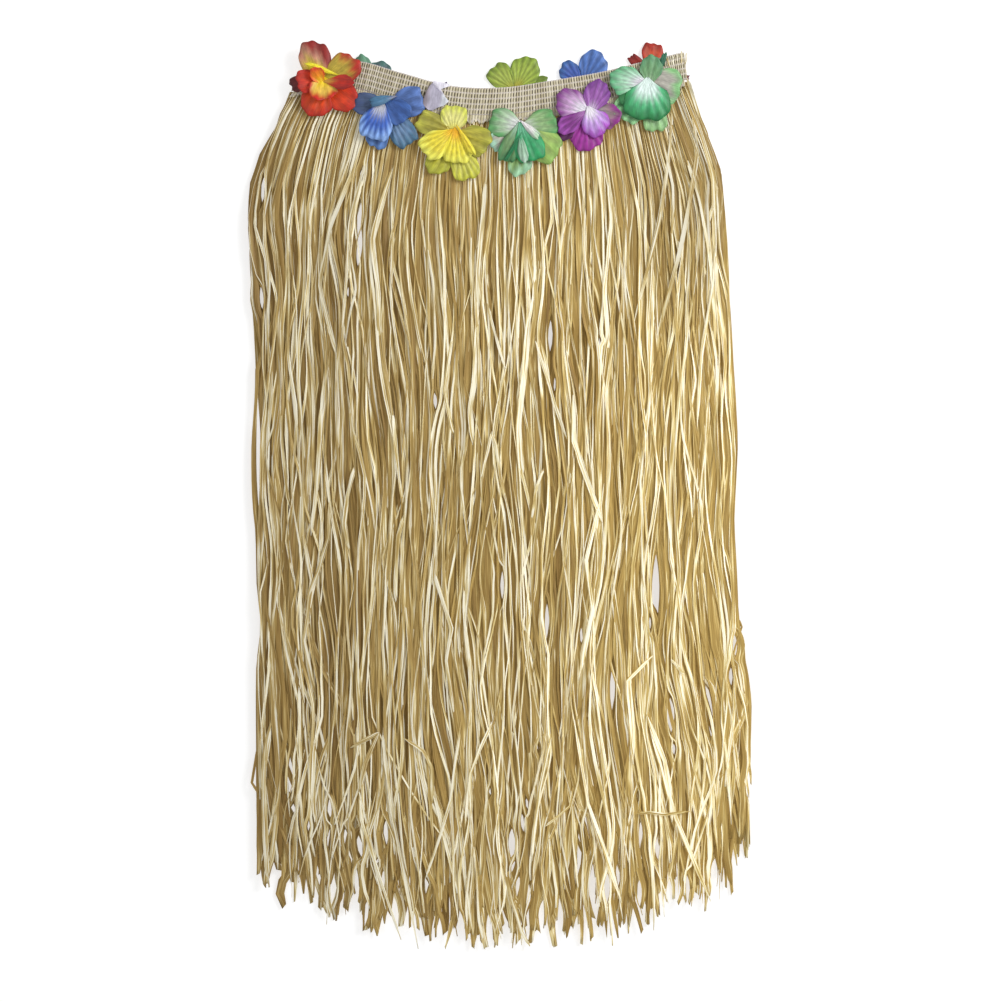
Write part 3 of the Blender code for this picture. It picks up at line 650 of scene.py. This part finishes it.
def bent_noise(rng, share, knots, softness):
    """Random values at evenly spaced knots, shifted for each row of shares, and joined by lines at
    softness 0 and by cosine steps at 1."""
    values = rng.normal(0, 1, (len(share), knots + 2))
    place = share * knots + rng.uniform(0, 1, (len(share), 1))
    first = np.minimum(place.astype(int), knots)
    rest = place - first
    blend = rest * (1 - softness) + softness * (1 - np.cos(math.pi * rest)) / 2
    near = np.take_along_axis(values, first, 1)
    far = np.take_along_axis(values, first + 1, 1)
    return near * (1 - blend) + far * blend


def place_points(lane, shorter, points):
    """Shares of the length at which each ribbon has its points: four times as dense beside a slit.

    The weight, which is 1 plus a bell curve round each slit, is summed along the ribbon, and points
    stand at equal steps of the sum."""
    fine = np.linspace(0, 1, 241) * np.ones((len(lane), 1))
    x, y = fringe_plan(lane * np.ones_like(fine), fine, shorter)
    weight = np.ones_like(fine)
    for slit in PARTINGS:
        along = (slit.top * MM - y) / ((slit.top - slit.low) * MM)
        beside = np.exp(-(((x - slit.x * MM) / (14 * MM)) ** 2))
        weight = weight + 3.5 * beside * (np.abs(along - 0.5) < 1)
    spent = np.cumsum(np.minimum(weight, 4.5), axis=1)
    spent = (spent - spent[:, :1]) / (spent[:, -1:] - spent[:, :1])
    steps = np.linspace(0, 1, points)
    return np.array([np.interp(steps, line, fine[0]) for line in spent])


def lay_ribbons(name, node, path, width, turn, tone, rng, material):
    """Flat ribbons along their paths: each a four-sided lens with a crease along it and a slanted end.

    path holds x, y and z, with a row for each ribbon. A section is turned by its own angle, so the
    width that is seen from above varies."""
    x, y, z = path
    count, points = x.shape
    step_x, step_y = np.gradient(x, axis=1), np.gradient(y, axis=1)
    length = np.hypot(step_x, step_y)
    ahead = np.stack([step_x / length, step_y / length])
    half = width / 2
    ridge = rng.choice([-1, 1], (count, 1)) * rng.uniform(0.06, 0.32, (count, 1)) * half
    place = rng.uniform(-0.45, 0.45, (count, 1)) * half
    corners = (
        (-half, 0 * half),
        (place, ridge + RIBBON_THICK / 2),
        (half, 0 * half),
        (place, ridge - RIBBON_THICK / 2),
    )
    section = np.zeros((count, points, 4, 3))
    for corner, (side, rise) in enumerate(corners):
        across = side * np.cos(turn) - rise * np.sin(turn)
        section[:, :, corner, 0] = x - across * ahead[1]
        section[:, :, corner, 1] = y + across * ahead[0]
        section[:, :, corner, 2] = z + side * np.sin(turn) + rise * np.cos(turn)
    slant = rng.uniform(-1.6, 1.6, count) * half[:, -1]
    for corner, way in ((0, -1), (2, 1)):
        section[:, -1, corner, :2] += way * slant[:, None] * ahead[:, :, -1].T
    section[..., 2] = np.maximum(section[..., 2], 0.15 * MM + RIBBON_THICK * (np.arange(4) != 3))

    ring = (np.arange(count)[:, None] * points + np.arange(points - 1)[None, :]) * 4
    faces = [
        np.stack([ring + a, ring + b, ring + 4 + b, ring + 4 + a], -1).reshape(-1, 4)
        for a, b in ((0, 1), (1, 2), (2, 3), (3, 0))
    ]
    first = np.arange(count) * points * 4
    last = first + (points - 1) * 4
    faces.append(np.column_stack([first, first + 3, first + 2, first + 1]))
    faces.append(np.column_stack([last, last + 1, last + 2, last + 3]))

    travelled = np.cumsum(length, axis=1) / MM
    uv = np.zeros((count, points, 4, 2))
    apart = 17.3 * np.arange(count)[:, None, None]
    uv[..., 0] = np.array([0.0, 0.5, 1.0, 0.5]) * width[:, :, None] / MM + apart
    uv[..., 1] = travelled[:, :, None] + 311 * rng.uniform(0, 1, (count, 1, 1))
    # painted light across the skirt, rising to the right, with painted shade that dims the upper right
    upper_right_painted_shade = 0.8 * soft_step(0.03, 0.18, x) * soft_step(0.08, 0.28, y)
    painted_side_light = np.clip(0.55 + 1.1 * x / 0.45 - upper_right_painted_shade + 0.16 * rng.normal(0, 1, (count, 1)), 0, 1)
    four = np.ones(4)
    return add_piece(
        name,
        node,
        section.reshape(-1, 3),
        np.vstack(faces),
        material,
        uv.reshape(-1, 2),
        floats=(("tone", np.clip(tone, 0, 1)[:, :, None] * four), ("painted_side_light", painted_side_light[:, :, None] * four)),
        sharp=lambda a, b: (a % 4) == (b % 4),
    )


def make_sheaf(sheaf, material):
    """Many ribbons side by side, each on its own path and at its own height in the sheaf.

    A path is its lane in the fringe, drawn towards a lock, plus shared waves, its own bends and kinks,
    and a splay near the hem. Notches in the hem are shared by all sheaves. A ribbon narrows towards its
    tip. It lies at its own height, pressed to 0.85 of it below the band, and is turned about its length
    by smooth noise whose standard deviation is the twist."""
    rng = np.random.default_rng(sheaf.seed)
    count = sheaf.ribbons
    lane = (np.arange(count) + rng.uniform(0, 1, count))[:, None] / count
    notch = 0.5 + 0.5 * np.sin(2 * math.pi * 23 * lane + 5 * np.sin(2 * math.pi * 3 * lane))
    shorter = rng.uniform(0, 1, (count, 1)) ** 1.15 * sheaf.short * MM + 20 * MM * notch**2
    shorter = shorter + 15 * MM * soft_step(0.93, 1.0, lane)
    share = place_points(lane, shorter, sheaf.points)
    phase = 2.2 * np.sin(9 * share + 1.7 * sheaf.seed) + sheaf.seed
    locks = 2 * math.pi * LOCKS
    lane = lane + sheaf.pinch * share**0.5 * np.sin(locks * lane + phase) / locks
    x, y = fringe_plan(lane, share, shorter)

    grow = soft_step(0.0, 0.25, share)
    for i, wave in enumerate(WAVES):
        turn = 2 * math.pi * (wave.along * share + wave.across * lane) + 1.9 * i + 0.8 * sheaf.seed
        x = x + wave.size * MM * grow * np.sin(turn)
    loose = soft_step(0.02, 0.2, share)
    x = x + sheaf.wander * MM * loose * bent_noise(rng, share, 8, 0.35)
    x = x + sheaf.kink * MM * loose * bent_noise(rng, share, 21, 0)
    hem_splay = np.clip(share - 0.86, 0, 1) * RUN * MM * np.tan(np.radians(rng.normal(0, 5, (count, 1))))
    stray = (rng.uniform(0, 1, (count, 1)) < 0.12) * np.tan(np.radians(rng.normal(0, 8, (count, 1))))
    begins = rng.uniform(0.2, 0.85, (count, 1))
    x = x + hem_splay + stray * np.clip(share - begins, 0, 0.16) * RUN * MM
    width = sheaf.width * MM * rng.uniform(sheaf.thinnest, 1.35, (count, 1))
    width = width * (1 + 0.14 * bent_noise(rng, share, 14, 1))
    to_tip = (1 - share) * RUN * MM
    tip = rng.uniform(0.05, 0.75, (count, 1))
    width = width * (tip + (1 - tip) * soft_step(0, 1, to_tip / (rng.uniform(10, 60, (count, 1)) * MM)))
    width = np.maximum(width * (0.65 + 0.35 * soft_step(0.0, 0.1, share)), 0.3 * MM)
    left, right = sides(share)
    over = np.maximum(left + width / 2 - x, 0) - np.maximum(x - right + width / 2, 0)
    slack = (14 - sheaf.high) * MM
    x = part_ribbons(x + over * 0.9 * soft_step(0, 0.06, share), y, width / 2, slack)

    rank = rng.permutation(count)[:, None] / count
    lie = sheaf.low + (sheaf.high - sheaf.low) * rank
    heave = 0.35 * bent_noise(rng, share, 12, 1)
    gathered = 1 - soft_step(0.0, 0.05, share)
    pressed = 1 - 0.15 * (1 - soft_step(0.10, 0.22, share))
    z = (lie * pressed + heave * (1 - 0.6 * gathered) + gathered * (6.4 - lie) * 0.4) * MM

    turn = np.radians(sheaf.twist) * bent_noise(rng, share, 7, 1)

    tone = sheaf.tone_low + (sheaf.tone_high - sheaf.tone_low) * rng.uniform(0, 1, (count, 1))
    # painted light by height: a ribbon that lies higher in its sheaf is lighter
    tone = tone + 0.16 * bent_noise(rng, share, 9, 1) + 0.10 * (rank - 0.5) + 0.17 * soft_step(0.84, 1, share)
    tone = tone + 0.3 * (0.6 - tone) * soft_step(0.06, 0.18, x)
    name, node = f"raffia_{sheaf.layer}", f"fringe_{sheaf.heading}"
    return lay_ribbons(name, node, (x, y, z), width, turn, tone, rng, material)


def make_strays(material):
    """The single ribbons: lines through their four points, whose corners are rounded by averaging each
    point with the two beside it. Both ends sink among the rest, but for ribbons above 12.05 mm."""
    rng = np.random.default_rng(21)
    rows = np.array(STRAYS, float)
    points = 25
    place = np.linspace(0, 3, points)
    first = np.minimum(place.astype(int), 2)
    share = place - first
    corners = [rows[:, i : i + 8 : 2] for i in (0, 1)]
    path = [line[:, first] * (1 - share) + line[:, first + 1] * share for line in corners]
    wide, pale, rounds, high = (rows[:, i : i + 1] for i in range(8, 12))
    for step in range(int(rounds.max())):
        for line in path:
            mean = (line[:, :-2] + 2 * line[:, 1:-1] + line[:, 2:]) / 4
            line[:, 1:-1] = np.where(rounds > step, mean, line[:, 1:-1])
    x, y = path[0] * MM, path[1] * MM
    run = np.linspace(0, 1, points) * np.ones((len(rows), 1))
    lie = np.minimum(high, 9.2 + 6 * soft_step(0.31, 0.25, y))
    sunk = 3.4 * (high < 12.05) * (1 - soft_step(0, 0.14, np.minimum(run, 1 - run)))
    z = (lie - sunk + 0.2 * bent_noise(rng, run, 6, 1)) * MM
    taper = 0.25 + 0.75 * soft_step(0, 0.12, run) * soft_step(0, 0.12, 1 - run)
    width = wide * MM * taper * (1 + 0.1 * bent_noise(rng, run, 8, 1))
    turn = np.radians(18) * bent_noise(rng, run, 4, 1)
    tone = pale + 0.06 * bent_noise(rng, run, 6, 1)
    return lay_ribbons("raffia_strays", "fringe_front_outer", (x, y, z), width, turn, tone, rng, material)


# waistband
RIBS = 148  # raffia ribs across the front
RIB_PITCH = 2.5  # mm from rib to rib
BAND_DEPTH = 25  # mm from edge to edge
COLUMNS_PER_RIB = 6
WEAVE_ROWS = 5  # rows of cells between six lines of elastic
LINES_PER_ROW = 6
RIB_RELIEF = 0.8 * MM


def rib_relief(along, down):
    """Rise of the weave, and how much painted shade and elastic it has, at ribs along and elastic rows down.

    A rib is the power 0.6 of a sine, flatter where a row of elastic holds it. The gaps between ribs get
    uneven painted shade, and the band's two edges are whipped with elastic too."""
    across = np.abs(np.sin(math.pi * along))
    held = np.exp(-(((down - np.round(down)) / 0.12) ** 2))
    rise = across**0.6 * (1 - 0.45 * held) + 0.3 * held
    shade = np.random.default_rng(6).uniform(0.55, 1.3, (RIBS + 2, WEAVE_ROWS + 1))
    uneven = np.minimum(shade[np.floor(along + 0.5).astype(int), np.floor(down).astype(int)], 1)
    gap = (1 - soft_step(0.30, 1.0, across)) * (1 - 0.95 * held) * uneven
    edge = np.minimum(down, WEAVE_ROWS - down) < 0.3
    thread = held * np.where(edge, 0.9, 0.6) + 0 * across
    return rise, gap, thread


def make_waistband(material):
    """A flattened tube: a front run, a side fold, a back run and a side fold, whose outside follows
    the weave and whose inside is plain. The half thickness is added square to the middle surface."""
    forward = np.linspace(0, 1, RIBS * COLUMNS_PER_RIB + 1)
    turns = 9
    turn = np.linspace(0, math.pi, turns + 2)[1:-1]
    run = np.concatenate([forward, np.ones(turns), forward[::-1], np.zeros(turns)])
    angle = np.concatenate([np.zeros(len(forward)), turn, np.full(len(forward), math.pi), math.pi + turn])
    lines = WEAVE_ROWS * LINES_PER_ROW + 1
    down = np.linspace(0, 1, lines)
    along = np.concatenate([forward * RIBS, np.full(turns, RIBS), forward[::-1] * RIBS, np.zeros(turns)])
    along = np.where(angle >= math.pi, along + 0.5, along)
    rise, gap, thread = rib_relief(along[:, None], down[None, :] * WEAVE_ROWS)
    on_run = ((angle == 0) | (angle == math.pi)).astype(float)[:, None]
    # less painted shade in the gaps on the side folds
    gap = gap * (0.4 + 0.6 * on_run)
    half = BAND_HOLLOW / 2 + BAND_WALL + RIB_RELIEF * (rise - 0.75) * on_run
    edges = band_section(run)
    ends = band_section([0.0, 0.02, 0.98, 1.0])
    step = np.array([ends[1] - ends[0], ends[3] - ends[2]])
    way = step / np.linalg.norm(step[:, :2], axis=1)[:, None]
    out = np.where((run < 0.5)[:, None], way[0], way[1])

    def wall(half_thick, shares):
        plan = edges[:, None, :2] * (1 - shares[..., None]) + edges[:, None, 2:] * shares[..., None]
        plan = plan + out[:, None, :2] * (np.sin(angle)[:, None] * half_thick)[:, :, None]
        return np.dstack([plan, BAND_MIDDLE + np.cos(angle)[:, None] * half_thick])

    # The top and lower edges are small scallops, one to a rib
    scallop = 0.012 * np.abs(np.sin(math.pi * along))
    at_edge = (down == 1).astype(float) - (down == 0).astype(float)
    shares = down[None, :] + scallop[:, None] * at_edge[None, :]
    outer = wall(half, shares)
    inner = wall(np.full((len(run), 2), BAND_HOLLOW / 2), np.array([[0.0, 1.0]]))
    stations = len(run)
    points = np.vstack([outer.reshape(-1, 3), inner.reshape(-1, 3)])
    index = np.arange(stations * lines).reshape(stations, lines)
    ahead = np.roll(index, -1, axis=0)
    inside = stations * lines + np.arange(stations * 2).reshape(stations, 2)
    inside_ahead = np.roll(inside, -1, axis=0)
    quads = np.vstack(
        [
            np.stack([index[:, :-1], ahead[:, :-1], ahead[:, 1:], index[:, 1:]], -1).reshape(-1, 4),
            np.column_stack([inside[:, 0], inside[:, 1], inside_ahead[:, 1], inside_ahead[:, 0]]),
            np.column_stack([index[:, 0], inside[:, 0], inside_ahead[:, 0], ahead[:, 0]]),
            np.column_stack([index[:, -1], ahead[:, -1], inside_ahead[:, 1], inside[:, 1]]),
        ]
    )
    rng = np.random.default_rng(5)
    rib_tone = rng.uniform(0.0, 0.5, RIBS + 2)[np.floor(along).astype(int)]
    tone = np.concatenate([np.repeat(rib_tone, lines), np.full(2 * stations, 0.2)])
    gap, thread = (np.concatenate([v.ravel(), np.zeros(2 * stations)]) for v in (gap, thread))
    uv = np.dstack(np.broadcast_arrays(along[:, None] * RIB_PITCH, BAND_DEPTH * down[None, :]))
    uv = np.vstack([uv.reshape(-1, 2), np.zeros((2 * stations, 2))])
    floats = (("tone", tone), ("gap", gap), ("thread", thread))
    return add_piece(
        "woven_waistband", "waistband", points, quads, material, uv, floats=floats
    )


def make_heading(name, node, low_height, thick, material):
    """The gathered strip under the band: ribs that carry on the band's and widen towards the strands.

    The rise is a rounded rib, pinched by a line of stitches at two thirds of the depth."""
    columns = RIBS * 4 + 1
    run = np.linspace(0.002, 0.998, columns)
    depth = np.linspace(0, 1, 9)
    ribs = run * RIBS
    rib = np.abs(np.sin(math.pi * ribs))[:, None] ** 0.7
    stitch = np.exp(-(((depth - 0.72) / 0.1) ** 2))[None, :]
    rise = rib * (1 - 0.55 * stitch) * thick
    grow = HEADING_DEPTH * (1 + 0.16 * np.sin(ribs * 1.7) + 0.1 * np.sin(ribs * 5.1))
    deep = band_height(run)[:, None] - 0.4 * MM + grow[:, None] * 1.3 * depth[None, :]
    plan = below_top(run[:, None] + 0 * depth[None, :], deep)
    height = low_height + 0 * rise
    points, quads = closed(np.dstack([plan, height + 0.3 * thick + rise]), np.dstack([plan, height]))
    rng = np.random.default_rng(len(name))
    tone = rng.uniform(0, 0.5, RIBS + 2)[np.floor(ribs).astype(int)][:, None] + 0 * depth[None, :]
    # painted shade in the gaps between the heading's ribs, fainter at the stitches and towards the band
    gap = (1 - soft_step(0.1, 0.75, rib)) * (1 - 0.7 * stitch) * (0.6 + 0.4 * depth[None, :])
    thread = stitch * soft_step(0.3, 0.8, np.abs(np.sin(math.pi * ribs / 2 + 0.8)))[:, None] * 0.8
    uv = np.dstack(np.broadcast_arrays(ribs[:, None] * RIB_PITCH, 8 * depth[None, :])).reshape(-1, 2)
    named = (("tone", tone), ("gap", gap), ("thread", thread))
    floats = [(title, np.concatenate([values.ravel()] * 2)) for title, values in named]
    uv = np.vstack([uv, uv])
    return add_piece(name, node, points, quads, material, uv, floats=floats)


# blossoms
def dye_of(base, middle, rim, reach, fade=0.29):
    """Colour that runs from base to middle to rim along the reach, smoothly, and is half faded at fade."""
    low, mid, high = (np.array(linear(c)) for c in (base, middle, rim))
    first = soft_step(fade - 0.2, fade + 0.2, reach)[..., None]
    second = soft_step(0.66, 0.98, reach)[..., None]
    return (low * (1 - first) + mid * first) * (1 - second) + high * second


def fan_petal(
    at, way, length, spread, rise_base, rise_rim, ribs, seat, rng, across=41, along=15, rib=PETAL_RIB
):
    """A fan: each line from the base leans by its share of the spread, and its profile is the running
    sum of a slope that turns from rise_base to rise_rim. The rim is round, ribs are cosines across the
    fan that deepen towards it, and two creases are bell curves across slanting lines."""
    u = np.linspace(-1, 1, across)[:, None]
    v = np.linspace(0.04, 1, along)[None, :]
    reach = 1 - 0.46 * np.abs(u) ** 2.8
    waves = 1 + 0.035 * np.sin(6 * u + rng.uniform(0, 6))
    reach = reach * (waves + 0.018 * np.sin(15 * u + rng.uniform(0, 6)))
    slope = np.radians(rise_base + (rise_rim - rise_base) * v**1.4)
    step = np.diff(np.concatenate([[0.0], v[0]]))[None, :]
    out = np.cumsum(np.cos(slope) * step, axis=1) * length
    up = np.cumsum(np.sin(slope) * step, axis=1) * length
    angle = math.radians(way) + u * math.radians(spread) * (0.75 + 0.25 * v)
    x = at[0] + out * reach * np.cos(angle)
    y = at[1] + out * reach * np.sin(angle)
    pleat = np.cos(math.pi * ribs * u + rng.uniform(0, 6))
    uneven = 0.75 + 0.25 * np.sin(3.1 * u + rng.uniform(0, 6))
    z = seat + up * reach + rib * pleat * uneven * v**0.8
    z = z + 0.5 * MM * np.sin(2.3 * u + rng.uniform(0, 6)) * v**2
    for _ in range(2):
        lean, off = rng.uniform(-0.9, 0.9), rng.uniform(-0.5, 0.5)
        z = z + 0.7 * MM * rng.choice([-1, 1]) * np.exp(-(((u + lean * v - off) / 0.16) ** 2)) * v
    grid = np.dstack([x, y, z + 0 * u])
    uv = np.dstack([u * length / MM * v * math.radians(spread), v * length / MM * np.ones_like(u)])
    streaks = 0.07 * pleat + 0.03 * np.sin(23 * u + rng.uniform(0, 6))
    # the last value is painted light and shade along the ribs, a factor on the dye
    return grid, uv, v * (0.9 + 0.1 * reach) + streaks * v, 1 + (0.08 + 0.02 * ribs) * pleat * v**0.5


def join_sheets(name, node, sheets, material):
    """One piece of several closed sheets, each with its grid, uv, dye and thickness."""
    points, quads, uvs, dyes = [], [], [], []
    start = 0
    for grid, uv, dye, thick in sheets:
        made, faces = shell(grid, thick)
        points.append(made)
        quads.append(faces + start)
        uvs.append(np.vstack([uv.reshape(-1, 2)] * 2))
        dyes.append(np.vstack([dye.reshape(-1, 4)] * 2))
        start += len(made)
    points, quads, uvs, dyes = (np.vstack(rows) for rows in (points, quads, uvs, dyes))
    return add_piece(name, node, points, quads, material, uvs, colours=(("dye", dyes),))


def make_front_blossoms(material):
    """Each layer of each blossom is one piece of overlapping petals."""
    made = []
    for number, (colour, middle) in enumerate(BLOSSOM_AT.items()):
        for layer, seat in (("outer", OUTER_SEAT), ("inner", INNER_SEAT)):
            rng = np.random.default_rng(40 + number)
            sheets = []
            for rank, p in enumerate(PETALS[colour, layer]):
                at = ((middle[0] + p.x) * MM, (middle[1] + p.y) * MM)
                height = seat + PETAL_STEP * rank
                grid, uv, reach, light = fan_petal(
                    at, p.way, p.length * MM, p.spread, p.rise_base, p.rise_rim, p.ribs, height, rng
                )
                lean = p.lean * np.linspace(-1, 1, reach.shape[0])[:, None] * reach
                # the dye carries the painted light and shade of the ribs
                dye = dye_of(p.base, p.middle, p.rim, reach + lean, p.fade) * light[..., None]
                sheets.append((grid, uv, dye, PETAL_THICK))
            name, node = f"petals_{colour}_{layer}", f"blossom_{colour}_{layer}"
            made.append(join_sheets(name, node, sheets, material))
    return made


def make_back_blossoms(material):
    """Five petals each, pressed flat under the back of the band, with smaller ones below them."""
    made = []
    for number, (colour, middle) in enumerate(BACK_AT.items()):
        at = (middle[0] * MM, middle[1] * MM)
        for layer, share, seat in (("inner", 0.58, 0.9), ("outer", 1.0, 2.3)):
            rng = np.random.default_rng(70 + number)
            sheets = []
            for rank, p in enumerate(BACK_PETALS[colour]):
                length = p.length * share * MM
                height = (seat + 0.12 * rank) * MM
                grid, uv, reach, light = fan_petal(
                    at, p.way, length, p.spread, 1, 0, p.ribs, height, rng, across=33, along=9, rib=0.32 * MM
                )
                grid[..., 2] = np.clip(grid[..., 2], 0.3 * MM, 3.4 * MM)
                # the back petals take the ribs' painted light and shade more strongly
                dye = dye_of(p.base, p.middle, p.rim, reach) * (1.6 * light - 0.6)[..., None]
                sheets.append((grid, uv, np.clip(dye, 0, 1), 0.25 * MM))
            name, node = f"petals_back_{colour}_{layer}", f"blossom_back_{colour}_{layer}"
            made.append(join_sheets(name, node, sheets, material))
    return made


TURNED = table(
    "below height width shift",
    (26.5, 10.6, 4.0, -3.2), (23.0, 10.9, 14.0, -4.5), (19.0, 11.1, 21.0, -1.3), (14.5, 11.3, 23.0, 0.7),
    (11.0, 11.2, 18.0, -1.3), (5.0, 10.9, 11.5, -2.8), (0.5, 10.8, 16.0, 2.3), (-1.2, 10.0, 15.0, 2.3),
    (-1.6, 8.0, 12.0, 2.0), (-1.6, 5.0, 11.0, 1.0), (-1.6, 3.4, 11.0, 1.0),
)


def make_turned_petal(material):
    """A strip through its sections over the band's top edge, creased where its neck folds over.

    The crease runs aslant, at 1.5 mm plus 0.69 of the way to the right. Above it the petal is nearly white,
    its pale base with a painted highlight on the folded neck; below it is lilac, with a pale lobe at the
    right, painted shade at the left and a painted shade line along the crease."""
    rows = np.array(TURNED, float)
    place = np.linspace(0, 1, len(rows))
    fine = np.linspace(0, 1, 49)
    below, height, width, shift = (np.interp(fine, place, rows[:, i]) for i in range(4))
    t = np.linspace(-1, 1, 25)
    side = t[None, :] * width[:, None] / 2 + shift[:, None]
    past_crease = below[:, None] - 1.5 - 0.69 * (side + 5.3)
    middle = below_top(np.full(len(fine), TURNED_AT), below * MM)
    edges = band_section([TURNED_AT, TURNED_AT + 0.01])
    along = (edges[1, :2] - edges[0, :2]) / np.linalg.norm(edges[1, :2] - edges[0, :2])
    plan = middle[:, None, :] + along[None, None, :] * side[:, :, None] * MM
    crease = -0.7 * np.exp(-((past_crease / 1.1) ** 2))
    bowl = 1.1 * (t**2)[None, :] * soft_step(0, 12, below)[:, None]
    grid = np.dstack([plan, (height[:, None] + crease + bowl) * MM])
    uv = np.dstack([side, np.cumsum(np.full(49, 0.7))[:, None] + 0 * side])
    dye = np.array(linear("#B7B2C4")) * np.ones((*side.shape, 1))
    # painted shade at the left, the pale lobe, the near-white neck with its painted highlight, and a painted
    # shade line along the crease
    layers = (
        ("#847880", soft_step(-4.0, -11.0, side)),
        ("#DDE0E8", soft_step(3.5, 6.5, side)),
        ("#EEEAF6", soft_step(0.8, -0.8, past_crease)),
        ("#7C7490", 0.7 * np.exp(-(((past_crease - 0.6) / 0.7) ** 2)) * soft_step(12, 6, below)[:, None]),
    )
    for hex_colour, share in layers:
        dye = dye * (1 - share[..., None]) + np.array(linear(hex_colour)) * share[..., None]
    sheet = (grid, uv, dye, 0.4 * MM)
    node = "blossom_back_violet_turned_petal"
    return join_sheets("petal_lilac_turned", node, [sheet], material)


# floor, light and camera
CAMERA_AT = 2.4  # m above the floor
SEEN_AT = 0.010  # m above the floor, the height at which a pixel is its stated size
FILM = 36  # mm, the sensor's width
# Round lights that face the middle of the floor, in m
LAMPS = table(
    "name place size watts",
    ("key", (1.15, 0.75, 1.15), 0.8, 18), ("fill", (-1.6, 0.4, 1.4), 1.2, 4),
)


def make_stage():
    """A wide floor, white light all round, a broad soft light from the upper right and a camera
    straight above, which sees 0.93 mm to a pixel."""
    mesh = bpy.data.meshes.new("floor")
    size, below = 30.0, 0.4 * MM
    corners = [(x * size, y * size, -below) for x, y in ((-1, -1), (1, -1), (1, 1), (-1, 1))]
    mesh.from_pydata(corners, [], [(0, 1, 2, 3)])
    mesh.materials.append(pale_floor())
    in_scene("floor", mesh)

    world = bpy.data.worlds.new("studio")
    world.use_nodes = True
    white = world.node_tree.nodes["Background"].inputs
    white["Color"].default_value = (1.0, 1.0, 1.0, 1.0)
    white["Strength"].default_value = 0.55
    bpy.context.scene.world = world
    for lamp in LAMPS:
        light = bpy.data.lights.new(lamp.name, "AREA")
        light.shape = "DISK"
        light.size = lamp.size
        light.energy = lamp.watts
        made = in_scene(lamp.name, light)
        made.location = lamp.place
        aim = -np.array(lamp.place, float)
        flat = math.hypot(aim[0], aim[1])
        made.rotation_euler = (math.atan2(flat, -aim[2]), 0, math.atan2(aim[1], aim[0]) - math.pi / 2)

    camera = bpy.data.cameras.new("camera")
    camera.sensor_width = FILM
    camera.lens = FILM * (CAMERA_AT - SEEN_AT) / (PICTURE * PIXEL * MM)
    camera.clip_end = 20
    made = in_scene("camera", camera)
    made.location = (PIXEL * MM, -5 * PIXEL * MM, CAMERA_AT)
    bpy.context.scene.camera = made
    bpy.context.scene.view_settings.view_transform = "Standard"


def main():
    make_stage()
    raffia = split_raffia()
    woven = woven_raffia_band()
    petal_cloth = stamped_petal_cloth()
    fringe = [make_sheaf(sheaf, raffia) for sheaf in SHEAVES] + [make_strays(raffia)]
    fringe.append(make_heading("heading_front", "fringe_front_outer", 7.6 * MM, 1.0 * MM, woven))
    fringe.append(make_heading("heading_back", "fringe_back_outer", 3.4 * MM, 0.6 * MM, woven))
    band = make_waistband(woven)
    blossoms = make_front_blossoms(petal_cloth) + make_back_blossoms(petal_cloth)
    blossoms.append(make_turned_petal(petal_cloth))


main()
